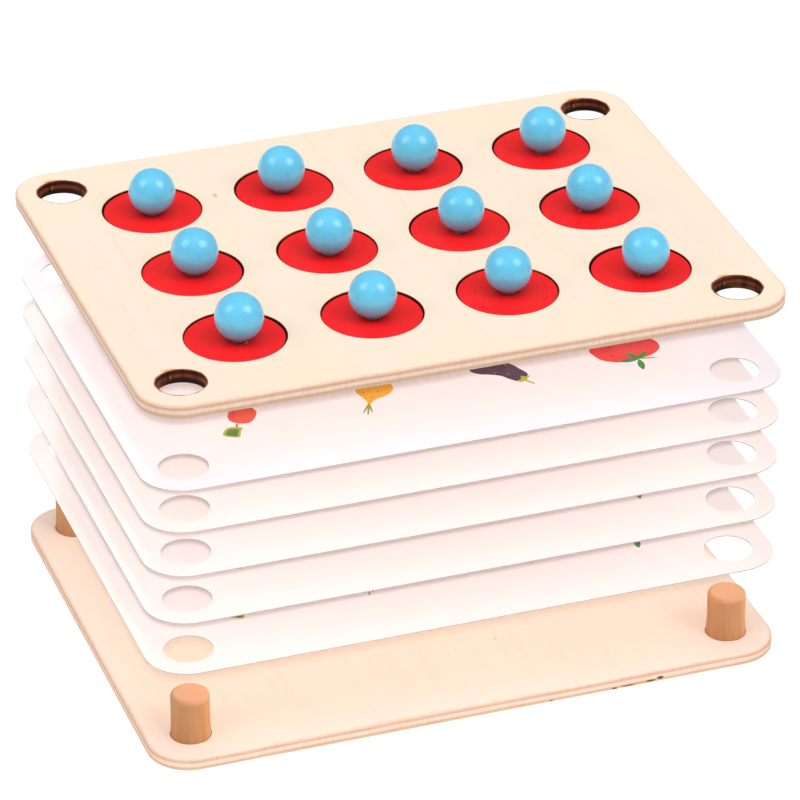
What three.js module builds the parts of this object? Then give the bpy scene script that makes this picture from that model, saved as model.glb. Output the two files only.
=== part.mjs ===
// A wooden picture-matching memory game for the table, its layers lifted one above the other.
//
// The base board carries four corner pegs. Five picture cards and a top board have corner holes
// that slide down over those pegs. The top board has a grid of round windows. A loose disc fills
// each window and hides the picture under it, and a ball glued on the disc is its grip.
//
// Millimetres. X runs along the boards' long side, Y from front to back, and Z up. The origin is
// under the middle of the base board, on the surface that the game stands on.

import * as THREE from "three";

// Boards
const BOARD_WIDTH = 229;
const BOARD_DEPTH = 176;
const BOARD_THICKNESS = 5;
const BOARD_CORNER_RADIUS = 15;

// Windows of the top board, and the grips that fill them
const COLUMNS = 4;
const ROWS = 3;
const WINDOW_PITCH = 48.3;
const WINDOW_RADIUS = 17.5;
const DISC_RADIUS = 17.1;
const DISC_THICKNESS = 4.4;
const BALL_RADIUS = 8.1;
const BALL_FOOT_RADIUS = 3.2; // of the short foot by which a ball is glued to its disc
const BALL_FOOT_HEIGHT = 0.85;

// Corner pegs, and the holes that slide over them
const PEG_RADIUS = 7;
const PEG_HEIGHT = 16.5; // above the base board's top face
const PEG_ROUNDING = 1.5; // of the edge round a peg's top
const PEG_HOLE_RADIUS = 8.5;
const PEG_INSET = 16; // from a board's edges to a peg's axis

// Picture cards
const CARD_COUNT = 5;
const CARD_THICKNESS = 0.4;
const CARD_INSET = 0.5; // from a board's edge to a card's edge

// Thin gaps between pieces
const GLUE_GAP = 0.1; // round a peg in its socket, and under a ball
const CLOSED_GAP = 0.1; // between two layers when the stack is closed

// How far each layer stands above its closed place on the layer below: the cards, bottom one
// first, and then the top board.
const LAYER_LIFTS = [33.5, 19.5, 18, 16.5, 15.5, 27];

// Straight steps in a full circle
const WINDOW_STEPS = 32;
const PEG_STEPS = 24;
const BALL_STEPS = 16;

// Straight steps in a board's or card's rounded corner
const CORNER_STEPS = 8;

const plywood = new THREE.MeshStandardMaterial({ color: 0xfde6cc, roughness: 0.6 });
const pegWood = new THREE.MeshStandardMaterial({ color: 0xefab72, roughness: 0.55 });
const cardStock = new THREE.MeshStandardMaterial({ color: 0xfff4f0, roughness: 0.7 });
const redPaint = new THREE.MeshStandardMaterial({ color: 0xf0262b, roughness: 0.45 });
const bluePaint = new THREE.MeshStandardMaterial({ color: 0x5cc0f0, roughness: 0.15 });

// Points along an arc of a circle, both ends included.
function arc(x, y, radius, from, to, steps) {
  return Array.from({ length: steps + 1 }, (_, i) => {
    const angle = from + ((to - from) * i) / steps;
    return new THREE.Vector2(x + radius * Math.cos(angle), y + radius * Math.sin(angle));
  });
}

// Points of a whole circle, the first not repeated.
function circle(x, y, radius, steps) {
  return arc(x, y, radius, 0, 2 * Math.PI, steps).slice(0, -1);
}

// A rectangle centred on the origin with rounded corners.
function roundedRectangle(width, depth, radius) {
  const x = width / 2 - radius;
  const y = depth / 2 - radius;
  const quarter = Math.PI / 2;
  const corners = [[x, -y], [x, y], [-x, y], [-x, -y]];
  return corners.flatMap(([cx, cy], i) =>
    arc(cx, cy, radius, (i - 1) * quarter, i * quarter, CORNER_STEPS),
  );
}

// A flat sheet standing on Z = 0, cut to an outline and pierced by holes.
function sheet(outline, holes, thickness) {
  const shape = new THREE.Shape(outline);
  shape.holes = holes.map((points) => new THREE.Path(points));
  return new THREE.ExtrudeGeometry(shape, { depth: thickness, bevelEnabled: false });
}

// A body turned about Z, from [radius, height] points that run from the bottom to the top.
function turned(profile, steps) {
  const points = profile.map(([radius, height]) => new THREE.Vector2(radius, height));
  return new THREE.LatheGeometry(points, steps).rotateX(Math.PI / 2);
}

function named(name, geometry, material) {
  const mesh = new THREE.Mesh(geometry, material);
  mesh.name = name;
  return mesh;
}

// The four corners where pegs and their holes lie.
const pegPlaces = ["front", "back"].flatMap((end) =>
  ["left", "right"].map((side) => ({
    name: `${end}_${side}`,
    x: (side === "left" ? -1 : 1) * (BOARD_WIDTH / 2 - PEG_INSET),
    y: (end === "front" ? -1 : 1) * (BOARD_DEPTH / 2 - PEG_INSET),
  })),
);

// The windows, row 1 at the front and column 1 at the left.
const windowPlaces = Array.from({ length: ROWS * COLUMNS }, (_, i) => {
  const row = Math.floor(i / COLUMNS);
  const column = i % COLUMNS;
  return {
    name: `r${row + 1}c${column + 1}`,
    x: (column - (COLUMNS - 1) / 2) * WINDOW_PITCH,
    y: (row - (ROWS - 1) / 2) * WINDOW_PITCH,
  };
});

function pegHoles(radius) {
  return pegPlaces.map(({ x, y }) => circle(x, y, radius, PEG_STEPS));
}

const boardOutline = roundedRectangle(BOARD_WIDTH, BOARD_DEPTH, BOARD_CORNER_RADIUS);

// The base board, with each peg glued into a socket that goes right through it.
function base() {
  const group = new THREE.Group();
  const sockets = pegHoles(PEG_RADIUS + GLUE_GAP);
  group.add(named("base_board", sheet(boardOutline, sockets, BOARD_THICKNESS), plywood));
  for (const { name, x, y } of pegPlaces) {
    const peg = named(`peg_${name}`, pegGeometry(), pegWood);
    peg.position.set(x, y, 0);
    group.add(peg);
  }
  return group;
}

// A round dowel, flush with the base board's underside, with a rounded top edge.
function pegGeometry() {
  const top = BOARD_THICKNESS + PEG_HEIGHT;
  const shoulder = arc(PEG_RADIUS - PEG_ROUNDING, top - PEG_ROUNDING, PEG_ROUNDING, 0, Math.PI / 2, 3);
  return turned([[0, 0], [PEG_RADIUS, 0], ...shoulder.map(({ x, y }) => [x, y]), [0, top]], PEG_STEPS);
}

// One thin picture card.
function card(number) {
  const outline = roundedRectangle(
    BOARD_WIDTH - 2 * CARD_INSET,
    BOARD_DEPTH - 2 * CARD_INSET,
    BOARD_CORNER_RADIUS - CARD_INSET,
  );
  return named(`card_${number}`, sheet(outline, pegHoles(PEG_HOLE_RADIUS), CARD_THICKNESS), cardStock);
}

// The top board and its twelve grips.
function top() {
  const group = new THREE.Group();
  const windows = windowPlaces.map(({ x, y }) => circle(x, y, WINDOW_RADIUS, WINDOW_STEPS));
  const holes = [...windows, ...pegHoles(PEG_HOLE_RADIUS)];
  group.add(named("top_board", sheet(boardOutline, holes, BOARD_THICKNESS), plywood));
  for (const { name, x, y } of windowPlaces) {
    const knob = grip(name);
    knob.position.set(x, y, 0);
    group.add(knob);
  }
  return group;
}

// A disc level with the top board's underside, with its ball.
function grip(name) {
  const group = new THREE.Group();
  const disc = sheet(circle(0, 0, DISC_RADIUS, WINDOW_STEPS), [], DISC_THICKNESS);
  group.add(named(`disc_${name}`, disc, redPaint));
  const ball = named(`ball_${name}`, ballGeometry(), bluePaint);
  ball.position.z = DISC_THICKNESS + GLUE_GAP;
  group.add(ball);
  return group;
}

// A ball standing on a short round foot.
function ballGeometry() {
  const footAngle = -Math.acos(BALL_FOOT_RADIUS / BALL_RADIUS);
  const centre = BALL_FOOT_HEIGHT - BALL_RADIUS * Math.sin(footAngle);
  const side = arc(0, centre, BALL_RADIUS, footAngle, Math.PI / 2, BALL_STEPS / 2).slice(0, -1);
  const profile = [[0, 0], [BALL_FOOT_RADIUS, 0], ...side.map(({ x, y }) => [x, y])];
  return turned([...profile, [0, centre + BALL_RADIUS]], BALL_STEPS);
}

const game = new THREE.Group();
game.add(base());
let faceBelow = BOARD_THICKNESS; // height of the top face that the next layer would rest on
LAYER_LIFTS.forEach((lift, i) => {
  const layer = i < CARD_COUNT ? card(i + 1) : top();
  layer.position.z = faceBelow + CLOSED_GAP + lift;
  faceBelow = layer.position.z + CARD_THICKNESS;
  game.add(layer);
});

export default game;
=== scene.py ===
"""Looks of a wooden picture-matching memory game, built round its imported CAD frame.

The game stands in layers: a base board with corner pegs, five picture cards, and a top board whose
windows are filled by red discs with blue ball grips. Lengths are in metres unless a name ends in
_MM, and +Z is up.
"""
import math
import random

import bmesh
import bpy
from mathutils import Matrix, Vector
from mathutils.geometry import delaunay_2d_cdt


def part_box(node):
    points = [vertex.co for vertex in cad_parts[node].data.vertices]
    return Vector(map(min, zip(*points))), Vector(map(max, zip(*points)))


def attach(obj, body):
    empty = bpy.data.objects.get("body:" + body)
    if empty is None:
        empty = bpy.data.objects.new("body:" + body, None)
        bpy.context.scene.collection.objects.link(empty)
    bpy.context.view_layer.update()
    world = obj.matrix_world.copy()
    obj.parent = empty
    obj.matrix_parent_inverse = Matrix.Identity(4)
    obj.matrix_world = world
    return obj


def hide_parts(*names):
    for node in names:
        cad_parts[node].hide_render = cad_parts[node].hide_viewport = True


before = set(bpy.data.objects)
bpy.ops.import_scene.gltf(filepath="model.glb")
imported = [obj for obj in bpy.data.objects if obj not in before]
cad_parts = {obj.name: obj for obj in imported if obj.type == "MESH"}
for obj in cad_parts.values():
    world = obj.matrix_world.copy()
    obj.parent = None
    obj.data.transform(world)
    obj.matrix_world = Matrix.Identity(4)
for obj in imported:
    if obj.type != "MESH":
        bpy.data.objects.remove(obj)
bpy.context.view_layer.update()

MM = 0.001
MERGE = 1e-6  # points nearer than this are one point

# Boards
CORNER_RADIUS = 15 * MM
EDGE_ROUNDING = 1.0 * MM
PEG_HOLE_RADIUS = 8.5 * MM
LASER_ARRIS = 0.12 * MM  # the tiny bevel that a laser leaves at a hole's rim
SCORCH_WIDTH = 0.8 * MM  # of the browned ring that it leaves round a hole
WINDOW_GAP = 0.4 * MM  # between a disc and its window
SOCKET_GAP = 0.05 * MM  # between a peg and its socket

# Balls
BALL_FOOT_RADIUS = 3.2 * MM
BALL_FOOT_HEIGHT = 0.5 * MM
DISC_PLAY = 0.25 * MM  # how far off its window's middle a disc may lie

# Steps in round outlines
CORNER_STEPS = 20
HOLE_STEPS = 96
TURNED_STEPS = 96

ENDS = ("front", "back")
SIDES = ("left", "right")
CORNERS = [f"{end}_{side}" for end in ENDS for side in SIDES]
PLACES = [f"r{row}c{column}" for row in (1, 2, 3) for column in (1, 2, 3, 4)]
CARDS = [f"card_{number}" for number in range(1, 6)]


def middle(node):
    """Centre of a CAD node's box."""
    low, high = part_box(node)
    return (low + high) / 2


PEG_POINTS = [middle(f"peg_{corner}").to_2d() for corner in CORNERS]
WINDOW_POINTS = [middle(f"disc_{place}").to_2d() for place in PLACES]


# ---------------------------------------------------------------- outlines


def arc(centre, radius, start, end, steps):
    """Points along an arc, both ends included."""
    angles = [start + (end - start) * i / steps for i in range(steps + 1)]
    return [centre + radius * Vector((math.cos(a), math.sin(a))) for a in angles]


def circle(centre, radius, steps=HOLE_STEPS):
    """Points of a whole circle, the first not repeated."""
    return arc(centre, radius, 0, math.tau, steps)[:-1]


def rounded_rectangle(half_width, half_depth, radius):
    """A rectangle centred on the origin with rounded corners, anticlockwise."""
    x, y = half_width - radius, half_depth - radius
    points = []
    for i, corner in enumerate(((x, -y), (x, y), (-x, y), (-x, -y))):
        start = (i - 1) * math.pi / 2
        points += arc(Vector(corner), radius, start, start + math.pi / 2, CORNER_STEPS)
    return points


def anticlockwise(points):
    """The same closed outline, running anticlockwise."""
    area = sum(a.cross(b) for a, b in zip(points, points[1:] + points[:1]))
    return points if area > 0 else points[::-1]


# ---------------------------------------------------------------- meshes


def fill(outline, holes, prints=()):
    """Triangles that fill an outline outside its holes: (points, triangles, ink of each triangle).

    prints are (ink, outline) pairs, and a later one lies over an earlier one."""
    points, loops = [], []
    for loop in (outline, *holes, *(shape for _, shape in prints)):
        loops.append(list(range(len(points), len(points) + len(loop))))
        points += [p / MM for p in anticlockwise(loop)]
    made = delaunay_2d_cdt(points, [], loops, 1, 1e-5)
    triangles, inks = [], []
    for triangle, sources in zip(made[2], made[5]):
        if 0 not in sources or any(0 < s <= len(holes) for s in sources):
            continue
        triangles.append(triangle)
        over = max(sources) - len(holes) - 1
        inks.append(prints[over][0] if over >= 0 else None)
    return [p * MM for p in made[0]], triangles, inks


def add_sheet(bm, filled, height, up, material=0):
    """Lays filled triangles at a height, facing up or down, and returns their faces."""
    points, triangles, _ = filled
    verts = [bm.verts.new((p.x, p.y, height)) for p in points]
    faces = []
    for triangle in triangles:
        corners = triangle if up else reversed(triangle)
        face = bm.faces.new([verts[i] for i in corners])
        face.material_index = material
        face.smooth = True
        faces.append(face)
    return faces


def add_wall(bm, rings, outward=True, material=0):
    """Quads between rings of (outline, height), listed from the top down."""
    verts = [[bm.verts.new((p.x, p.y, height)) for p in outline] for outline, height in rings]
    for upper, lower in zip(verts, verts[1:]):
        for i, corner in enumerate(upper):
            j = (i + 1) % len(upper)
            quad = [corner, lower[i], lower[j], upper[j]]
            face = bm.faces.new(quad if outward else quad[::-1])
            face.material_index = material
            face.smooth = True


def finish_mesh(name, bm, materials, sharp_degrees=40):
    """Makes an object of a bmesh, with welded seams and edges that are sharp where they turn."""
    bmesh.ops.remove_doubles(bm, verts=bm.verts, dist=MERGE)
    mesh = bpy.data.meshes.new(name)
    bm.to_mesh(mesh)
    bm.free()
    mesh.set_sharp_from_angle(angle=math.radians(sharp_degrees))
    for material in materials:
        mesh.materials.append(material)
    made = bpy.data.objects.new(name, mesh)
    bpy.context.scene.collection.objects.link(made)
    return made


def even_normals(piece):
    """Lets broad flat faces keep their own normal beside a rounded edge."""
    modifier = piece.modifiers.new("even_normals", "WEIGHTED_NORMAL")
    modifier.keep_sharp = True


def turned(name, profile, materials, steps=TURNED_STEPS, slots=None):
    """A body turned about Z from (radius, height) points, bottom to top, both ends on the axis.

    slots gives the material index of each step of the profile."""
    bm = bmesh.new()
    rings = []
    for radius, height in profile:
        if radius < MERGE:
            rings.append([bm.verts.new((0, 0, height))])
        else:
            rings.append([bm.verts.new((*p, height)) for p in circle(Vector((0, 0)), radius, steps)])
    for step, (lower, upper) in enumerate(zip(rings, rings[1:])):
        for i in range(steps):
            j = (i + 1) % steps
            loop = [lower[i % len(lower)], lower[j % len(lower)], upper[j % len(upper)], upper[i % len(upper)]]
            face = bm.faces.new(list(dict.fromkeys(loop)))
            face.smooth = True
            face.material_index = slots[step] if slots else 0
    return finish_mesh(name, bm, materials)


# ---------------------------------------------------------------- materials


def linear(red, green, blue):
    """A colour given as it looks on a screen, 0 to 255, as the renderer's linear colour."""
    return tuple(((c / 255 + 0.055) / 1.055) ** 2.4 for c in (red, green, blue)) + (1,)


class Material:
    """A material's node tree, with short calls for the nodes used here."""

    def __init__(self, name, **sockets):
        self.material = bpy.data.materials.new(name)
        self.material.use_nodes = True
        self.tree = self.material.node_tree
        self.shader = self.tree.nodes["Principled BSDF"]
        for socket, value in sockets.items():
            self.shader.inputs[socket.replace("_", " ")].default_value = value
        self.place = self.node("ShaderNodeTexCoord").outputs["Object"]

    def node(self, kind, values=(), **settings):
        """A node with its settings, and its inputs given by name or number: a value or a link."""
        made = self.tree.nodes.new(kind)
        for name, value in settings.items():
            setattr(made, name, value)
        for key, value in dict(values).items():
            if isinstance(value, bpy.types.NodeSocket):
                self.tree.links.new(value, made.inputs[key])
            else:
                made.inputs[key].default_value = value
        return made

    def math(self, operation, *values, clamp=False):
        return self.node("ShaderNodeMath", enumerate(values), operation=operation, use_clamp=clamp).outputs[0]

    def stretched(self, scale, place=None, shift=(0, 0, 0)):
        """The place, scaled along each axis in cycles per metre."""
        values = {"Vector": place or self.place, "Scale": scale, "Location": shift}
        return self.node("ShaderNodeMapping", values).outputs[0]

    def noise(self, scale, detail=3, roughness=0.5, distortion=0, shift=(0, 0, 0)):
        """Noise from 0 to 1, at a scale along each axis in cycles per metre."""
        values = {
            "Vector": self.stretched(scale, shift=shift),
            "Scale": 1,
            "Detail": detail,
            "Roughness": roughness,
            "Distortion": distortion,
        }
        return self.node("ShaderNodeTexNoise", values).outputs["Fac"]

    def range(self, value, low, high, to_low=0, to_high=1, smooth=False):
        """value mapped from low..high to to_low..to_high and kept inside it."""
        values = {"Value": value, "From Min": low, "From Max": high, "To Min": to_low, "To Max": to_high}
        kind = "SMOOTHSTEP" if smooth else "LINEAR"
        return self.node("ShaderNodeMapRange", values, interpolation_type=kind).outputs[0]

    def mix(self, amount, first, second, blend="MIX"):
        """A colour between two."""
        made = self.node("ShaderNodeMix", data_type="RGBA", blend_type=blend)
        for key, value in ((0, amount), (6, first), (7, second)):
            if isinstance(value, bpy.types.NodeSocket):
                self.tree.links.new(value, made.inputs[key])
            else:
                made.inputs[key].default_value = value
        return made.outputs[2]

    def ramp(self, value, stops):
        """A colour ramp through (position, colour) stops."""
        made = self.node("ShaderNodeValToRGB", {"Fac": value})
        elements = made.color_ramp.elements
        for element, (position, colour) in zip(elements, (stops[0], stops[-1])):
            element.position = position
            element.color = colour
        for position, colour in stops[1:-1]:
            elements.new(position).color = colour
        return made.outputs[0]

    def patch(self, centre, sizes, core=0.1):
        """1 in the core of an ellipsoid of these half sizes, and 0 outside it."""
        scale = [1 / size for size in sizes]
        shift = [-c / size for c, size in zip(centre, sizes)]
        away = self.node("ShaderNodeVectorMath", {0: self.stretched(scale, shift=shift)}, operation="LENGTH")
        return self.range(away.outputs["Value"], core, 1, 1, 0, smooth=True)

    def colour(self, value):
        self.tree.links.new(value, self.shader.inputs["Base Color"])

    def roughness(self, value):
        self.tree.links.new(value, self.shader.inputs["Roughness"])

    def bump(self, height, distance, strength=1):
        """Raises the surface by height, 0 to 1, times distance."""
        values = {"Height": height, "Distance": distance, "Strength": strength}
        self.tree.links.new(self.node("ShaderNodeBump", values).outputs[0], self.shader.inputs["Normal"])


def ply_face(name, shift, scorched=(), knots=()):
    """A plywood board's sanded face. scorched are places burnt by the laser, knots are pin knots."""
    m = Material(name, Specular_IOR_Level=0.3)
    grain = m.noise((300, 9, 200), detail=5, roughness=0.6, distortion=0.3, shift=shift)
    figure = m.noise((22, 4, 20), detail=2, distortion=1.2, shift=shift)
    cloud = m.noise((8, 6, 9), detail=2, shift=shift)
    flecks = m.noise((150, 900, 300), detail=2, roughness=0.6, shift=shift)
    pores = m.noise((1100, 90, 300), detail=2, roughness=0.7, shift=shift)
    wood = m.mix(m.range(figure, 0.4, 0.7, 0, 0.4), linear(250, 232, 210), linear(248, 227, 201))
    wood = m.mix(m.range(cloud, 0.42, 0.7, 0, 0.7), wood, linear(249, 229, 212))
    wood = m.mix(m.range(flecks, 0.5, 0.75, 0, 0.2), wood, linear(253, 238, 219))
    wood = m.mix(m.range(grain, 0.48, 0.75, 0, 0.1), wood, linear(228, 196, 162))
    wood = m.mix(m.range(pores, 0.62, 0.8, 0, 0.1), wood, linear(198, 150, 106))
    for centre, sizes in scorched:
        ragged = m.math("MULTIPLY", m.patch(centre, sizes, core=0.3), m.range(grain, 0.2, 0.65, 0.75, 1))
        wood = m.mix(ragged, wood, linear(240, 158, 78))
    for centre, size in knots:
        knot = m.math("MULTIPLY", m.patch(centre, (size, 1.6 * size, size)), 0.6)
        wood = m.mix(knot, wood, linear(206, 150, 100))
    ring = m.node("ShaderNodeAttribute", attribute_name="scorch").outputs["Fac"]
    ragged = m.math("ADD", ring, m.range(m.noise((260, 260, 260), detail=3), 0.3, 0.7, -0.3, 0.3))
    wood = m.mix(m.range(ragged, 0.3, 0.9, 0, 1, smooth=True), wood, linear(156, 76, 32))
    m.colour(wood)
    m.roughness(m.range(grain, 0.3, 0.8, 0.5, 0.64))
    m.bump(m.math("ADD", m.math("MULTIPLY", grain, 0.6), m.math("MULTIPLY", pores, 0.4)), 0.00004, 0.5)
    return m.material


def ply_edge(name, low, thickness, chips=()):
    """A board's sanded three-ply edge. chips are (place, half sizes, colour) where the core shows."""
    m = Material(name, Specular_IOR_Level=0.3)
    height = m.node("ShaderNodeSeparateXYZ", {0: m.place}).outputs["Z"]
    wander = m.range(m.noise((30, 30, 60), detail=2), 0.3, 0.7, -0.035, 0.035)
    share = m.math("ADD", m.range(height, low, low + thickness), wander)
    plies = m.ramp(
        share,
        [
            (0.0, linear(224, 190, 160)),
            (0.10, linear(214, 178, 148)),
            (0.30, linear(210, 172, 144)),
            (0.37, linear(232, 202, 178)),
            (0.50, linear(244, 216, 194)),
            (0.62, linear(238, 206, 184)),
            (0.68, linear(214, 172, 148)),
            (0.82, linear(220, 178, 152)),
            (0.93, linear(240, 204, 176)),
            (1.0, linear(247, 226, 202)),
        ],
    )
    fibres = m.noise((900, 900, 160), detail=3, roughness=0.7)
    streaks = m.noise((110, 110, 1500), detail=2)
    wood = m.mix(m.range(fibres, 0.45, 0.8, 0, 0.3), plies, linear(184, 138, 104))
    wood = m.mix(m.range(streaks, 0.4, 0.75, 0, 0.2), wood, linear(244, 218, 194))
    for centre, sizes, colour in chips:
        wood = m.mix(m.patch(centre, sizes, core=0.5), wood, linear(*colour))
    m.colour(wood)
    m.roughness(m.range(fibres, 0.3, 0.8, 0.6, 0.8))
    m.bump(fibres, 0.00006, 0.5)
    return m.material


def burnt_wall(name, low, thickness, seams=()):
    """The wall of a laser-cut hole: charred, with the middle ply paler. seams are where cuts began."""
    m = Material(name, Specular_IOR_Level=0.1)
    height = m.node("ShaderNodeSeparateXYZ", {0: m.place}).outputs["Z"]
    wander = m.range(m.noise((60, 60, 60), detail=2), 0.3, 0.7, -0.05, 0.05)
    share = m.math("ADD", m.range(height, low, low + thickness), wander)
    char = m.ramp(
        share,
        [
            (0.0, linear(44, 24, 16)),
            (0.30, linear(34, 18, 13)),
            (0.38, linear(88, 38, 20)),
            (0.52, linear(132, 66, 38)),
            (0.66, linear(110, 50, 27)),
            (0.72, linear(48, 20, 12)),
            (0.92, linear(82, 32, 16)),
            (1.0, linear(180, 96, 44)),
        ],
    )
    strokes = m.noise((420, 420, 30), detail=3, roughness=0.7)
    patches = m.noise((90, 90, 260), detail=2)
    wood = m.mix(m.range(patches, 0.52, 0.72, 0, 0.5), char, linear(168, 96, 56))
    wood = m.mix(m.range(strokes, 0.42, 0.72, 0, 0.7), wood, linear(34, 15, 10))
    for x, y in seams:
        for shift, width, height, colour in ((-0.6, 0.8, 1.2, (30, 14, 10)), (0.35, 0.4, 0.24, (190, 128, 88))):
            sizes = (width * MM, 2 * MM, height * thickness)
            line = m.patch((x + shift * MM, y, low + thickness / 2), sizes)
            wood = m.mix(m.math("MULTIPLY", line, 0.7), wood, linear(*colour))
    m.colour(wood)
    m.roughness(m.range(strokes, 0.3, 0.8, 0.5, 0.8))
    m.bump(strokes, 0.00012, 0.7)
    return m.material


def peg_side(name, top):
    """A beech-like dowel, its grain running up it, and its sanded upper edge paler."""
    m = Material(name, Specular_IOR_Level=0.25)
    grain = m.noise((420, 420, 22), detail=4, roughness=0.6)
    flecks = m.noise((1500, 1500, 190), detail=2, roughness=0.6)
    wood = m.mix(m.range(grain, 0.32, 0.7), linear(214, 154, 106), linear(202, 140, 92))
    wood = m.mix(m.range(flecks, 0.6, 0.78, 0, 0.35), wood, linear(170, 106, 62))
    height = m.node("ShaderNodeSeparateXYZ", {0: m.place}).outputs["Z"]
    wood = m.mix(m.range(height, top - 1.8 * MM, top), wood, linear(226, 168, 126))
    m.colour(wood)
    m.roughness(m.range(flecks, 0.3, 0.8, 0.5, 0.66))
    m.bump(m.math("ADD", grain, flecks), 0.00005, 0.5)
    return m.material


def peg_end(name):
    """A dowel's end grain: pores and faint growth rings."""
    m = Material(name, Specular_IOR_Level=0.35)
    values = {"Vector": m.stretched((1, 1, 1), shift=(0.02, 0.006, 0)), "Scale": 210, "Distortion": 1.5}
    rings = m.node("ShaderNodeTexWave", values, wave_type="RINGS", rings_direction="Z").outputs["Fac"]
    pores = m.noise((1600, 1600, 300), detail=2, roughness=0.7)
    wood = m.mix(m.range(rings, 0.2, 0.9, 0, 0.3), linear(230, 174, 134), linear(220, 162, 120))
    wood = m.mix(m.range(pores, 0.58, 0.75, 0, 0.3), wood, linear(196, 130, 86))
    m.colour(wood)
    m.roughness(m.range(pores, 0.3, 0.8, 0.5, 0.7))
    m.bump(pores, 0.00005, 0.5)
    return m.material


def card_print(name):
    """Coated card with its printed inks, which each face of the mesh carries as a colour."""
    m = Material(name, Specular_IOR_Level=0.35)
    ink = m.node("ShaderNodeVertexColor", layer_name="ink").outputs["Color"]
    fibres = m.noise((700, 700, 700), detail=4, roughness=0.65)
    mottle = m.noise((120, 120, 120), detail=2)
    tone = m.mix(m.range(mottle, 0.35, 0.7, 0, 0.04), ink, linear(226, 206, 198))
    m.colour(m.mix(m.range(fibres, 0.4, 0.75, 0, 0.04), tone, linear(206, 188, 180)))
    m.roughness(m.range(fibres, 0.3, 0.7, 0.45, 0.58))
    m.bump(fibres, 0.00002, 0.4)
    return m.material


def red_paint(name):
    """Satin red paint on a sanded plywood disc: grain telegraphs through it a little."""
    m = Material(name, Specular_IOR_Level=0.25)
    grain = m.noise((420, 30, 300), detail=4, roughness=0.6)
    patches = m.noise((60, 60, 60), detail=3)
    specks = m.noise((1300, 1300, 1300), detail=1)
    red = m.mix(m.range(patches, 0.35, 0.7), linear(254, 35, 36), linear(248, 27, 31))
    red = m.mix(m.range(grain, 0.55, 0.8, 0, 0.25), red, linear(214, 12, 20))
    red = m.mix(m.range(specks, 0.76, 0.82, 0, 0.5), red, linear(250, 130, 124))
    m.colour(red)
    m.roughness(m.range(grain, 0.3, 0.8, 0.45, 0.6))
    m.bump(m.math("ADD", m.math("MULTIPLY", grain, 0.7), m.math("MULTIPLY", specks, 0.3)), 0.00005, 0.6)
    return m.material


def burnt_side(name, thickness):
    """A disc's laser-cut side, with red paint drawn over its upper edge."""
    m = Material(name, Specular_IOR_Level=0.25)
    height = m.node("ShaderNodeSeparateXYZ", {0: m.place}).outputs["Z"]
    strokes = m.noise((520, 520, 40), detail=3, roughness=0.7)
    share = m.math("ADD", m.range(height, 0, thickness), m.range(strokes, 0.3, 0.7, -0.05, 0.05))
    layers = m.ramp(
        share,
        [
            (0.0, linear(60, 32, 20)),
            (0.33, linear(76, 42, 26)),
            (0.40, linear(128, 80, 50)),
            (0.62, linear(132, 82, 52)),
            (0.70, linear(70, 36, 22)),
            (0.86, linear(92, 30, 22)),
            (0.93, linear(206, 20, 26)),
        ],
    )
    m.colour(m.mix(m.range(strokes, 0.45, 0.75, 0, 0.5), layers, linear(40, 20, 14)))
    m.roughness(m.range(strokes, 0.3, 0.8, 0.5, 0.8))
    m.bump(strokes, 0.0001, 0.6)
    return m.material


def blue_lacquer(name):
    """Gloss lacquer on a turned bead, with the faint waviness of a dipped coat."""
    m = Material(name, Specular_IOR_Level=0.5, Coat_Weight=0.6, Coat_Roughness=0.15)
    waves = m.noise((150, 150, 150), detail=2)
    grain = m.noise((700, 700, 60), detail=3)
    specks = m.noise((900, 900, 900), detail=1)
    blue = m.mix(m.range(waves, 0.35, 0.7), linear(110, 212, 250), linear(102, 204, 245))
    blue = m.mix(m.range(grain, 0.55, 0.8, 0, 0.2), blue, linear(64, 152, 206))
    m.colour(m.mix(m.range(specks, 0.74, 0.8, 0, 0.25), blue, linear(176, 222, 246)))
    m.roughness(m.range(waves, 0.3, 0.7, 0.22, 0.3))
    m.bump(m.math("ADD", waves, m.math("MULTIPLY", grain, 0.2)), 0.00008, 0.3)
    return m.material


def clear_glue(name):
    """Dried glue, squeezed out in small beads."""
    m = Material(name, Transmission_Weight=0.55, IOR=1.46)
    cloud = m.noise((900, 900, 900), detail=2)
    m.colour(m.mix(m.range(cloud, 0.3, 0.7), linear(255, 214, 206), linear(246, 170, 164)))
    m.roughness(m.range(cloud, 0.3, 0.7, 0.12, 0.3))
    return m.material


# ---------------------------------------------------------------- pictures

INKS = {
    "paper": (254, 244, 241),
    # the cut edges' grey is partly the card's grey core and partly painted shade, for the thin dark line along each
    # card's edge and hole
    "grey_core_and_edge_shade": (176, 168, 164),
    "tomato": (240, 64, 62),
    "coral": (238, 88, 62),
    "dark_red": (172, 34, 44),
    "yellow": (246, 172, 44),
    "straw": (250, 206, 104),
    "orange": (240, 132, 44),
    "purple": (82, 52, 72),
    "violet": (120, 92, 160),
    "green": (58, 138, 66),
    "leaf": (88, 128, 48),
    "lime": (176, 180, 70),
    "olive": (160, 150, 56),
    "brown": (122, 84, 52),
    "cream": (252, 228, 190),
}


def ellipse(x, y, half_width, half_height, turn=0, steps=36):
    """An ellipse, turned anticlockwise by degrees."""
    turn = Matrix.Rotation(math.radians(turn), 2)
    unit = circle(Vector((0, 0)), 1, steps)
    return [Vector((x, y)) + turn @ Vector((p.x * half_width, p.y * half_height)) for p in unit]


def smooth(*points, steps=6):
    """A closed smooth curve through points."""
    points = [Vector(p) for p in points]
    curve = []
    for i, start in enumerate(points):
        end = points[(i + 1) % len(points)]
        out = (end - points[i - 1]) / 2
        into = (points[(i + 2) % len(points)] - start) / 2
        for k in range(steps):
            t = k / steps
            curve.append(
                start * (2 * t**3 - 3 * t**2 + 1)
                + out * (t**3 - 2 * t**2 + t)
                + end * (3 * t**2 - 2 * t**3)
                + into * (t**3 - t**2)
            )
    return curve


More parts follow.
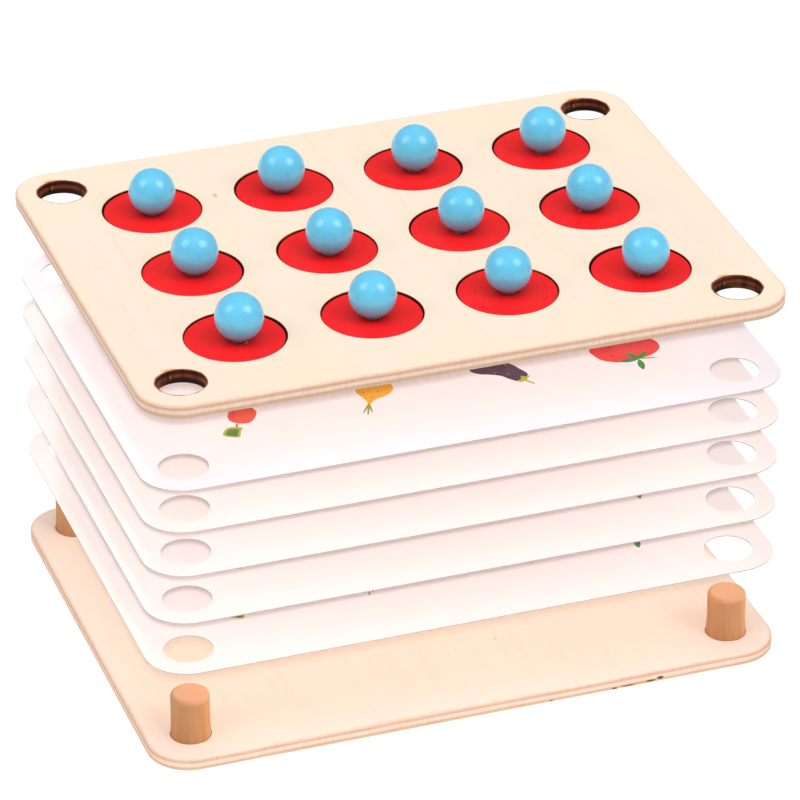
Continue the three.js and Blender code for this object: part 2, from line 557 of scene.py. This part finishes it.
def leaf(x, y, tip_x, tip_y, width, steps=8):
    """A pointed leaf from its base to its tip."""
    base, tip = Vector((x, y)), Vector((tip_x, tip_y))
    across = Vector((y - tip_y, tip_x - x)).normalized() * width / 2
    side = [math.sin(math.pi * i / steps) ** 0.8 for i in range(steps + 1)]
    left = [base.lerp(tip, i / steps) + across * side[i] for i in range(steps + 1)]
    right = [base.lerp(tip, i / steps) - across * side[i] for i in range(steps - 1, 0, -1)]
    return left + right


def stem(x, y, tip_x, tip_y, width, tip_width=None):
    """A straight tapered stroke."""
    base, tip = Vector((x, y)), Vector((tip_x, tip_y))
    across = Vector((y - tip_y, tip_x - x)).normalized() / 2
    tip_width = tip_width or width
    return [base - across * width, tip - across * tip_width, tip + across * tip_width, base + across * width]


def shrunk(outline, share):
    """An outline drawn smaller about its middle."""
    centre = sum(outline, Vector((0, 0))) / len(outline)
    return [centre + (p - centre) * share for p in outline]


# Each picture is a list of (ink, outline) in millimetres about its window's middle, its stalk upwards.


def radish():
    body = smooth((-7.8, -4.1), (-6.5, 0), (-3.5, 3.1), (0, 2.7), (2.4, 0.1), (2.2, -3.8), (-1, -8.4), (-5.4, -8.8))
    leaves = smooth((7.5, 7.8), (4.5, 4.2), (0.1, 5.5), (1.1, 7.8), (2.7, 11.3), (5.4, 10.4), (6.8, 9.4))
    return [
        ("coral", body),
        ("coral", stem(-3.2, -8, -4.6, -13, 1.6, 0.3)),
        ("tomato", smooth((1, 0.4), (1.2, -3.6), (-1.4, -7.4), (0, -3.4), steps=4)),
        ("olive", stem(0.8, 2.5, 1.9, 5.4, 0.8)),
        ("lime", leaves),
        ("leaf", shrunk(leaves, 0.68)),
    ]


def onion():
    body = smooth((4.5, -5.3), (3.8, -0.4), (3.2, 2.2), (3.1, 5.2), (1.6, 3.8), (-0.8, 2.1), (-4.3, 1.1),
                  (-7.5, -1.5), (-8.5, -5.1), (-6.6, -9.4), (-2.2, -11.2), (2.4, -9.4))
    return [
        ("yellow", body),
        *[("olive", stem(3, 4.6, x, y, 0.9, 0.5)) for x, y in ((6.7, 9.7), (5.6, 11.3), (3.7, 10.1))],
        *[("dark_red", ellipse(x, y, 0.3, 0.3, steps=10)) for x, y in ((0.6, 0.4), (-2.6, -2.8), (2.2, -3.6))],
    ]


def aubergine():
    body = smooth((11.4, -5.5), (9.4, -2.5), (5.6, -0.7), (2.5, 1.3), (0.3, 4.5), (-2.3, 6.6), (-6.5, 3.3),
                  (-5.2, -1.4), (-3.4, -5.5), (0, -9.6), (5.4, -11.6), (10.2, -9.6))
    cap = smooth((-1.4, 6.3), (-2.6, 7.4), (-4.6, 6.7), (-7, 4), (-5.2, 4.4), (-3.9, 3.4), (-3.2, 5.4))
    return [
        ("purple", body),
        ("violet", smooth((-1.4, -7), (1.6, -9.6), (5.4, -10), (1.8, -8), steps=4)),
        ("lime", cap),
        ("lime", stem(-4.2, 6.4, -6.5, 10.1, 1, 0.7)),
        *[("tomato", ellipse(x, y, 0.5, 0.4, steps=12)) for x, y in ((3.9, -1.5), (-1.5, -5.2), (-0.4, 0.8))],
    ]


def tomato():
    body = smooth((16.1, -5.3), (16, -1.8), (14.7, 2.1), (12.2, 4.4), (8.8, 5.9), (3.4, 5.2), (-1.7, 5),
                  (-6.5, 2.1), (-8.2, -1.3), (-7.5, -5.4), (-3.4, -10.2), (4, -12), (12, -10.2))
    return [
        ("tomato", body),
        ("coral", smooth((-4, -7.6), (-0.6, -10), (4, -10.4), (0, -8.4), steps=4)),
        ("olive", leaf(2.4, 5.4, -4.5, 6.9, 1)),
        *[("green", leaf(2.1, 5.9, x, y, 2.4)) for x, y in ((4.8, 0.2), (-2.2, 1.4), (9.4, 5.4), (3.3, 13.3))],
        *[("dark_red", ellipse(x, y, 0.5, 0.4, steps=12)) for x, y in ((8.4, -5.2), (1.4, -4.7), (9.6, 0.6))],
    ]


def carrot():
    body = smooth((0, 5), (3.6, 4.4), (4.6, 1), (2.6, -6), (0, -13.6), (-2.6, -6), (-4.6, 1), (-3.6, 4.4))
    fronds = [(-4.4, 11), (-1.8, 12.8), (1.4, 13), (4.2, 11.2)]
    return [
        ("orange", body),
        *[("coral", stem(-3.4 + 0.5 * i, 1.6 - 3 * i, -0.8, 1.4 - 3 * i, 0.5, 0.2)) for i in range(3)],
        *[("green", leaf(0, 4.6, x, y, 2.2)) for x, y in fronds],
    ]


def pear():
    body = smooth((0, 7), (3, 5), (3.8, 0.6), (7.6, -4), (7.4, -9.4), (3, -12.8), (-3, -12.8),
                  (-7.4, -9.4), (-7.6, -4), (-3.8, 0.6), (-3, 5))
    return [
        ("lime", body),
        ("straw", smooth((-2, 3.6), (-3.4, -1.6), (-5.8, -5.6), (-4.6, -9.6), (-3.4, -4), steps=4)),
        ("brown", stem(0, 6.2, 0.8, 12, 1, 0.8)),
        ("green", leaf(0.6, 9, 6.2, 11.4, 2.8)),
    ]


def apple():
    body = smooth((0, 4.4), (4.6, 6.4), (9.6, 3.4), (9.6, -3.4), (6, -10), (1.6, -11.6), (-1.6, -11.6),
                  (-6, -10), (-9.6, -3.4), (-9.6, 3.4), (-4.6, 6.4))
    return [
        ("dark_red", body),
        ("tomato", smooth((-4.6, 4.6), (-8, 1.6), (-7.6, -4), (-5.6, -1), steps=4)),
        ("brown", stem(0, 3.4, 0.8, 10, 0.9, 0.7)),
        ("leaf", leaf(0.6, 7, 6.6, 10.8, 3.2)),
    ]


def lemon():
    body = smooth((0, 10), (2.6, 7.4), (7.2, 3), (7.8, -3), (3.4, -8.4), (0, -11.6), (-3.4, -8.4),
                  (-7.8, -3), (-7.2, 3), (-2.6, 7.4))
    return [
        ("straw", body),
        ("yellow", smooth((4.6, 3), (6, -1.6), (3.2, -6), (4.2, -1.4), steps=4)),
        ("green", leaf(0, 9, 7, 11, 3.2)),
    ]


def strawberry():
    body = smooth((0, 6), (5.6, 6), (8.4, 1.6), (5.4, -6.4), (0, -12), (-5.4, -6.4), (-8.4, 1.6), (-5.6, 6))
    seeds = [(-4, 1.6), (0, 2), (4, 1.6), (-2.2, -2.4), (2.2, -2.4), (0, -6.4)]
    return [
        ("tomato", body),
        *[("cream", ellipse(x, y, 0.4, 0.7, steps=8)) for x, y in seeds],
        *[("green", leaf(0, 6, x, y, 2.6)) for x, y in ((-6.4, 4.2), (-3.2, 9.6), (0, 12), (3.2, 9.6), (6.4, 4.2))],
    ]


def cherries():
    return [
        ("leaf", stem(-5, -5, 1, 11.6, 0.7)),
        ("leaf", stem(5.4, -4, 1, 11.6, 0.7)),
        ("dark_red", ellipse(-5, -6.6, 5, 4.8)),
        ("tomato", ellipse(5.4, -5.2, 5, 4.8)),
        ("coral", ellipse(-6.8, -5, 1.1, 1.6, 30, steps=14)),
        ("cream", ellipse(3.6, -3.8, 0.9, 1.4, 30, steps=14)),
        ("green", leaf(1, 11, 9, 8.6, 3.6)),
    ]


def plum():
    return [
        ("violet", ellipse(0, -3.4, 7.6, 9, 12)),
        ("purple", smooth((1.4, 4.8), (3.6, 0), (3, -8), (1.8, -1), steps=4)),
        ("brown", stem(-1, 4.8, -0.4, 9.6, 0.9, 0.7)),
        ("leaf", leaf(-0.6, 7.4, -6.6, 11.4, 3)),
        ("lime", leaf(-0.4, 8, 5.2, 12, 2.6)),
    ]


def peas():
    pod = smooth((-1.6, 10.6), (4, 6), (6, -1), (3.8, -8.4), (-2.4, -12.6), (0, -6), (0.4, 0), (-0.6, 6))
    return [
        ("green", pod),
        *[("lime", ellipse(2.6 - 0.03 * (y + 1) ** 2, y, 1.9, 1.8, steps=18)) for y in (5, 1, -3, -7)],
        ("leaf", stem(-1.4, 10, -3.6, 13, 0.9, 0.6)),
    ]


FRONT_ROW = [radish, onion, aubergine, tomato]
OTHERS = [carrot, apple, pear, strawberry, lemon, cherries, peas, plum]


def card_pictures(number):
    """A card's twelve pictures, front row first. Each of its six kinds comes twice."""
    first = 2 * (len(CARDS) - number)
    pair = [OTHERS[(first + i) % len(OTHERS)] for i in range(2)]
    rest = FRONT_ROW + 2 * pair
    random.Random(number).shuffle(rest)
    return FRONT_ROW + rest


def card_prints(number):
    """(ink, outline) of every shape printed on a card. The pictures' stalks point to the front."""
    return [
        (ink, [centre - p * MM for p in outline])
        for centre, draw in zip(WINDOW_POINTS, card_pictures(number))
        for ink, outline in draw()
    ]


# ---------------------------------------------------------------- pieces


def place(piece, body, slot, *nodes):
    """Puts a piece on its body, in place of the CAD nodes that it stands for."""
    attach(piece, body)
    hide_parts(*nodes)
    return piece


def brown_rims(piece, holes):
    """Marks the rim of each hole, so that its ply face is browned there: 1 is charred, 0 is clean."""
    marks = piece.data.attributes.new("scorch", "FLOAT", "POINT")
    for vertex, mark in zip(piece.data.vertices, marks.data):
        point = vertex.co.to_2d()
        rims = [browning for centre, radius, browning in holes if (point - centre).length < radius + 2 * LASER_ARRIS]
        mark.value = max(rims, default=0)


def board(name, node, body, face, edge, hole_wall, holes):
    """A plywood board with rounded outer edges and laser-cut holes of (centre, radius, browning)."""
    low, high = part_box(node)
    half_width, half_depth = high.x, high.y

    def outline(inset):
        return rounded_rectangle(half_width - inset, half_depth - inset, CORNER_RADIUS - inset)

    steps = 6
    rim = []
    for i in range(steps + 1):
        angle = math.pi / 2 * i / steps
        inset, drop = EDGE_ROUNDING * (1 - math.sin(angle)), EDGE_ROUNDING * (1 - math.cos(angle))
        rim.append((inset, drop))
    upper = [(outline(inset), high.z - drop) for inset, drop in rim]
    lower = [(outline(inset), low.z + drop) for inset, drop in reversed(rim)]
    rings = [circle(centre, radius + LASER_ARRIS + SCORCH_WIDTH) for centre, radius, _ in holes]
    filled = fill(outline(EDGE_ROUNDING), rings)
    bm = bmesh.new()
    add_sheet(bm, filled, high.z, up=True, material=0)
    add_sheet(bm, filled, low.z, up=False, material=0)
    add_wall(bm, upper + lower, material=1)
    for (centre, radius, _), ring in zip(holes, rings):
        mouth, wall = circle(centre, radius + LASER_ARRIS), circle(centre, radius)
        bore = [(mouth, high.z), (wall, high.z - LASER_ARRIS), (wall, low.z + LASER_ARRIS), (mouth, low.z)]
        add_wall(bm, [(ring, high.z), (mouth, high.z)], outward=False, material=0)
        add_wall(bm, bore, outward=False, material=2)
        add_wall(bm, [(mouth, low.z), (ring, low.z)], outward=False, material=0)
    piece = finish_mesh(name, bm, [face, edge, hole_wall])
    brown_rims(piece, holes)
    even_normals(piece)
    return place(piece, body, "ply", node)


def base_board():
    low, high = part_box("base_board")
    dark, tan = (96, 60, 44), (222, 160, 104)
    chips = [
        (Vector((x * MM, low.y, low.z + z * MM)), (length * MM, 3 * MM, height * MM), colour)
        for x, z, length, height, colour in (
            (58.5, 1.3, 8, 0.5, tan),
            (55.5, 0.9, 3.2, 0.35, dark),
            (50.5, 0.7, 1.3, 0.7, dark),
            (64, 1.2, 2.4, 0.5, dark),
            (67.5, 1.7, 1.6, 0.8, dark),
            (27, 0.8, 0.7, 0.4, dark),
        )
    ]
    face = ply_face("base_ply_face", (0.37, 0.12, 0), knots=[(Vector((0.02, -0.05, high.z)), 0.7 * MM)])
    edge = ply_edge("base_ply_edge", low.z, high.z - low.z, chips)
    wall = burnt_wall("base_socket_wall", low.z, high.z - low.z)
    radius = (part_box("peg_front_left")[1] - middle("peg_front_left")).x + SOCKET_GAP
    sockets = [(centre, radius, 0.5) for centre in PEG_POINTS]
    return board("base_board_ply", "base_board", "base", face, edge, wall, sockets)


def top_board():
    low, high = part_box("top_board")
    starts = [centre + Vector((-1.6 * MM, PEG_HOLE_RADIUS)) for centre in PEG_POINTS]  # of the laser's cuts
    scorched = [(start.to_3d() + Vector((0, 0, high.z)), (3.6 * MM, 2 * MM, MM)) for start in starts]
    knots = [(Vector((-0.0485, 0.0515, high.z)), 1.4 * MM), (Vector((0.056, -0.038, high.z)), 0.6 * MM)]
    face = ply_face("top_ply_face", (0, 0, 0), scorched, knots)
    edge = ply_edge("top_ply_edge", low.z, high.z - low.z)
    wall = burnt_wall("top_hole_wall", low.z, high.z - low.z, starts)
    disc_radius = (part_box("disc_r1c1")[1] - middle("disc_r1c1")).x
    windows = [(centre, disc_radius + WINDOW_GAP, 0.2) for centre in WINDOW_POINTS]
    corners = [(centre, PEG_HOLE_RADIUS, 1) for centre in PEG_POINTS]
    return board("top_board_ply", "top_board", "top_board", face, edge, wall, windows + corners)


def pegs():
    """Dowels with a rounded top edge and a slight swell where they enter the board."""
    side, end = peg_side("peg_side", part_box("peg_front_left")[1].z), peg_end("peg_end")
    made = []
    board_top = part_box("base_board")[1].z
    for corner in CORNERS:
        node = f"peg_{corner}"
        low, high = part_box(node)
        centre = middle(node)
        radius = high.x - centre.x
        rounding = 1.4 * MM
        profile = [(0, low.z), (radius - 0.4 * MM, low.z), (radius, low.z + 0.4 * MM), (radius, board_top)]
        profile += [(radius - 0.25 * MM * t, board_top + 6 * MM * t) for t in (0.25, 0.5, 0.75, 1)]
        shoulder = radius - 0.25 * MM
        for point in arc(Vector((shoulder - rounding, high.z - rounding)), rounding, 0, math.pi / 2, 8):
            profile.append(tuple(point))
        profile.append((0, high.z))
        slots = [0] * (len(profile) - 2) + [1]
        slots[0] = 1
        piece = turned(f"{node}_dowel", profile, [side, end], slots=slots)
        piece.location = (centre.x, centre.y, 0)
        made.append(place(piece, "base", "peg_wood", node))
    return made


def cards():
    """Thin cards, printed on their upper face, their cut edges grey: partly the card's grey core, partly painted
    shade for the thin dark line along each edge.
    """
    material = card_print("card_print")
    made = []
    for number, node in enumerate(CARDS, 1):
        low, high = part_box(node)
        outline = rounded_rectangle(high.x, high.y, CORNER_RADIUS)
        holes = [circle(centre, PEG_HOLE_RADIUS) for centre in PEG_POINTS]
        bm = bmesh.new()
        ink_layer = bm.loops.layers.float_color.new("ink")
        printed = fill(outline, holes, card_prints(number))
        inked = {f: ink or "paper" for f, ink in zip(add_sheet(bm, printed, high.z, up=True), printed[2])}
        inked |= {f: "paper" for f in add_sheet(bm, fill(outline, holes), low.z, up=False)}
        for loop, outward in ((outline, True), *((hole, False) for hole in holes)):
            add_wall(bm, [(loop, high.z), (loop, low.z)], outward)
        for face in bm.faces:
            for corner in face.loops:
                # faces left unprinted are the cut edges: grey for the core, and painted shade for the thin dark line
                # along each edge
                corner[ink_layer] = linear(*INKS[inked.get(face, "grey_core_and_edge_shade")])
        made.append(place(finish_mesh(f"{node}_print", bm, [material]), node, "card_stock", node))
    return made


def disc_profile(radius, thickness):
    """Half of a disc's section, its edges just broken."""
    arris = 0.2 * MM
    return [
        (0, 0),
        (radius - arris, 0),
        (radius, arris),
        (radius, thickness - 2 * arris),
        (radius - arris * 0.3, thickness - arris * 0.7),
        (radius - arris, thickness - arris * 0.15),
        (radius - 2 * arris, thickness),
        (0, thickness),
    ]


def ball_profile(radius, marked=False):
    """Half of the section of a ball on a short foot. A marked one has the lathe's dimple on top."""
    start = -math.acos(BALL_FOOT_RADIUS / radius)
    centre = BALL_FOOT_HEIGHT - radius * math.sin(start)
    dimple = 0.45 * MM / radius
    stop = math.pi / 2 - (dimple if marked else 0)
    side = [tuple(p) for p in arc(Vector((0, centre)), radius, start, stop, 40)]
    foot = [(0, 0), (BALL_FOOT_RADIUS - 0.2 * MM, 0), (BALL_FOOT_RADIUS, 0.2 * MM)]
    if marked:
        return [*foot, *side, (0.15 * MM, centre + radius - 0.3 * MM), (0, centre + radius - 0.35 * MM)]
    return [*foot, *side[:-1], (0, centre + radius)]


# Each ball as it was glued on by hand: millimetres off its disc's middle, and its size.
GLUED = {
    "r1c1": (1.2, -0.9, 1.04), "r1c2": (-0.1, -0.6, 1.02), "r1c3": (0.7, 1.2, 1), "r1c4": (1.1, -2, 1.02),
    "r2c1": (1, 0.5, 1.02), "r2c2": (0.6, -0.9, 1.02), "r2c3": (0.6, -0.2, 1), "r2c4": (0, 0.2, 1.02),
    "r3c1": (0, -0.5, 1.02), "r3c2": (-0.5, 0.8, 1.03), "r3c3": (0.7, 0.6, 1.04), "r3c4": (0.3, -0.8, 1.03),
}

# Where glue was squeezed out: degrees round the ball's foot, and millimetres across the bead.
GLUE_BEADS = {
    "r1c1": ((-75, 1.5), (-140, 0.9)),
    "r1c4": ((-150, 1.0),),
    "r2c3": ((-125, 1.1), (-150, 0.8), (-60, 0.7)),
    "r2c4": ((-165, 1.6),),
    "r3c3": ((-140, 0.8), (-80, 0.6)),
    "r3c4": ((-130, 1.4), (-155, 0.9), (-70, 1.0)),
}


def glue(name, centre, height, beads, material, luck):
    """Beads of dried glue where a ball's foot meets its disc, each a lopsided flattened blob."""
    bm = bmesh.new()
    for turn, across in beads:
        angle = math.radians(turn)
        outward = Vector((math.cos(angle), math.sin(angle), 0))
        middle_of_bead = Vector((*centre, height)) + outward * (BALL_FOOT_RADIUS + 0.3 * across * MM)
        stretch = Matrix.Diagonal((across * 0.8 * MM, across * 1.1 * MM, across * 0.55 * MM, 1))
        spin = Matrix.Rotation(angle + luck.uniform(-0.4, 0.4), 4, "Z")
        blob = bmesh.ops.create_icosphere(bm, subdivisions=3, radius=0.5)["verts"]
        lean = Vector((luck.uniform(-1, 1), luck.uniform(-1, 1), 0)) * 0.35
        for vertex in blob:
            vertex.co += lean * vertex.co.z * vertex.co.length
            vertex.co *= 1 + 0.22 * math.sin(5 * vertex.co.x + 3 * vertex.co.y + turn)
        bmesh.ops.transform(bm, matrix=Matrix.Translation(middle_of_bead) @ spin @ stretch, verts=blob)
    for face in bm.faces:
        face.smooth = True
    piece = finish_mesh(f"glue_{name}", bm, [material], sharp_degrees=180)
    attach(piece, f"knob_{name}")


def grips():
    """A painted disc with a lacquered ball on it, for each window."""
    luck = random.Random(12)
    red, blue, dried = red_paint("red_paint"), blue_lacquer("blue_lacquer"), clear_glue("dried_glue")
    low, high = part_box("disc_r1c1")
    side = burnt_side("disc_side", high.z - low.z)
    bare = ply_face("disc_underside", (0.2, 0.05, 0))
    ball_low, ball_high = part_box("ball_r1c1")
    radius = (ball_high.x - ball_low.x) / 2
    disc_shape = disc_profile(high.x - middle("disc_r1c1").x, ball_low.z - low.z)
    discs = []
    for name, window in zip(PLACES, WINDOW_POINTS):
        body = f"knob_{name}"
        disc = turned(f"disc_{name}_paint", disc_shape, [red, side, bare], slots=[2, 1, 1, 1, 0, 0, 0])
        play = Matrix.Rotation(luck.uniform(0, math.tau), 2) @ Vector((DISC_PLAY, 0))
        disc.location = (*(window + play), low.z)
        disc.rotation_euler.z = luck.uniform(0, math.tau)
        even_normals(disc)
        discs.append(place(disc, body, "red_paint", f"disc_{name}"))
        x, y, size = GLUED[name]
        glued = window + Vector((x, y)) * MM
        shape = ball_profile(radius * size, marked=name == "r1c4")
        ball = turned(f"ball_{name}_lacquer", shape, [blue], steps=64)
        ball.location = (*glued, ball_low.z)
        ball.rotation_euler.z = luck.uniform(0, math.tau)
        place(ball, body, "blue_lacquer", f"ball_{name}")
        if name in GLUE_BEADS:
            glue(name, glued, ball_low.z, GLUE_BEADS[name], dried, luck)
    return discs


base_piece = base_board()
peg_pieces = pegs()
card_pieces = cards()
top_piece = top_board()
disc_pieces = grips()

# ---------------------------------------------------------------- camera, light and floor

AZIMUTH, ELEVATION, ROLL = -19.057, 29.723, -0.156  # degrees
AIM = Vector((-0.0004, -0.0076, 0.0826))
DISTANCE = 1.7494
LENS, SENSOR = 225, 36  # millimetres


def direction(azimuth, elevation):
    """Unit vector from the game towards something at an azimuth, 0 in front, and an elevation."""
    a, e = math.radians(azimuth), math.radians(elevation)
    return Vector((math.sin(a) * math.cos(e), -math.cos(a) * math.cos(e), math.sin(e)))


def camera():
    made = bpy.data.objects.new("camera", bpy.data.cameras.new("camera"))
    bpy.context.scene.collection.objects.link(made)
    made.data.lens = LENS
    made.data.sensor_width = SENSOR
    made.data.clip_start = 0.05
    made.data.clip_end = 50
    back = direction(AZIMUTH, ELEVATION)
    right = Vector((0, 0, 1)).cross(back).normalized()
    upright = Matrix((right, back.cross(right), back)).transposed()
    made.rotation_euler = (upright @ Matrix.Rotation(math.radians(ROLL), 3, "Z")).to_euler()
    made.location = AIM + back * DISTANCE
    bpy.context.scene.camera = made


def lamp(name, kind, strength, colour=(1, 1, 1)):
    light = bpy.data.lights.new(name, kind)
    light.energy = strength
    light.color = colour
    made = bpy.data.objects.new(name, light)
    bpy.context.scene.collection.objects.link(made)
    return made


def far_softbox(name, azimuth, elevation, width, strength, colour=(1, 1, 1)):
    """A round light too far away to fade across the game. width is its angle across, in degrees."""
    made = lamp(name, "SUN", strength, colour)
    made.data.angle = math.radians(width)
    made.rotation_euler = direction(azimuth, elevation).to_track_quat("Z", "Y").to_euler()
    return made


def camera_lamp(name, watts, colour=(1, 1, 1)):
    """A lamp just above the camera, so that a layer's shadow shows as a thin band under its edge."""
    made = lamp(name, "POINT", watts, colour)
    made.data.shadow_soft_size = 0.045
    made.location = AIM + direction(AZIMUTH, ELEVATION + 1.85) * DISTANCE
    return made


def linked(name, pieces, share="INCLUDE"):
    """A collection that links a lamp to these pieces, or with share EXCLUDE to all but these."""
    group = bpy.data.collections.new(name)
    for piece in pieces:
        group.objects.link(piece)
    for link in group.collection_objects:
        link.light_linking.link_state = share
    return group


def light_only(made, lit, blocking=None, share="INCLUDE"):
    """Lets a lamp light only these pieces, and be blocked only by the blocking ones, where given."""
    made.light_linking.receiver_collection = linked(f"{made.name}_lights", lit, share)
    if blocking:
        made.light_linking.blocker_collection = linked(f"{made.name}_blockers", blocking)
    elif blocking is not None:
        made.data.use_shadow = False


def lights():
    """Softboxes over the game, and lamps for its lower layers alone.

    The photo's layers were lit one by one, so the softboxes light the top board and the grips, and
    what lies below them has its own lamps."""
    lower = [base_piece, *card_pieces, *peg_pieces]
    top_softbox = far_softbox("top_softbox", -25, 78, 60, 1.38)
    top_softbox.visible_glossy = False  # the photo's balls mirror only the two at the sides
    for made in (
        far_softbox("left_softbox", -95, 47, 34, 0.65),
        far_softbox("right_softbox", 50, 48, 34, 0.9),
        top_softbox,
    ):
        light_only(made, [*lower, floor_piece], share="EXCLUDE")
    light_only(far_softbox("board_edge_fill", -10, 10, 50, 0.28), [top_piece], ())
    layers = [top_piece, *disc_pieces, *card_pieces]
    light_only(camera_lamp("card_key", 75), card_pieces, layers)
    light_only(far_softbox("card_back_key", 184, 32, 8, 0.9), card_pieces, layers)
    light_only(far_softbox("card_fill", -12, 65, 50, 1), card_pieces[:-1], ())
    # Cool, against the warm light that the board above throws back.
    light_only(far_softbox("top_card_fill", -12, 65, 50, 1.6, (0.6, 0.72, 1)), card_pieces[-1:], ())
    pinkish, cool = (1, 0.92, 0.98), (0.9, 0.94, 1)
    light_only(camera_lamp("base_key", 40, pinkish), [base_piece], layers)
    light_only(far_softbox("base_fill", -12, 78, 50, 1.2, (0.9, 0.86, 1)), [base_piece], ())
    light_only(far_softbox("base_left", -70, 37, 30, 0.4, cool), [base_piece], peg_pieces)
    light_only(far_softbox("base_right", 32, 43, 30, 0.6, cool), [base_piece], peg_pieces)
    light_only(far_softbox("peg_left", -70, 40, 30, 0.65), peg_pieces, ())
    light_only(far_softbox("peg_right", 62, 34, 30, 2), peg_pieces, ())
    light_only(far_softbox("floor_fill", -12, 65, 50, 2.9), [floor_piece], ())


def floor():
    bm = bmesh.new()
    bmesh.ops.create_grid(bm, x_segments=1, y_segments=1, size=20)
    m = Material("floor", Specular_IOR_Level=0.1, Roughness=0.9)
    m.colour(m.mix(m.range(m.noise((3, 3, 3)), 0.3, 0.7), linear(250, 250, 250), linear(247, 247, 247)))
    made = finish_mesh("floor", bm, [m.material])
    made.location.z = -0.1 * MM
    return made


def room():
    """A white room, brightest near the floor."""
    world = bpy.data.worlds.new("room")
    bpy.context.scene.world = world
    world.use_nodes = True
    nodes, links = world.node_tree.nodes, world.node_tree.links
    height = nodes.new("ShaderNodeSeparateXYZ")
    links.new(nodes.new("ShaderNodeTexCoord").outputs["Generated"], height.inputs[0])
    strength = nodes.new("ShaderNodeMapRange")
    for name, value in (("From Min", 0), ("From Max", 0.8), ("To Min", 0.38), ("To Max", 0.26)):
        strength.inputs[name].default_value = value
    links.new(height.outputs["Z"], strength.inputs["Value"])
    background = nodes["Background"]
    background.inputs["Color"].default_value = (1, 1, 1, 1)
    links.new(strength.outputs[0], background.inputs["Strength"])
    bpy.context.scene.view_settings.view_transform = "Standard"


camera()
floor_piece = floor()
lights()
room()
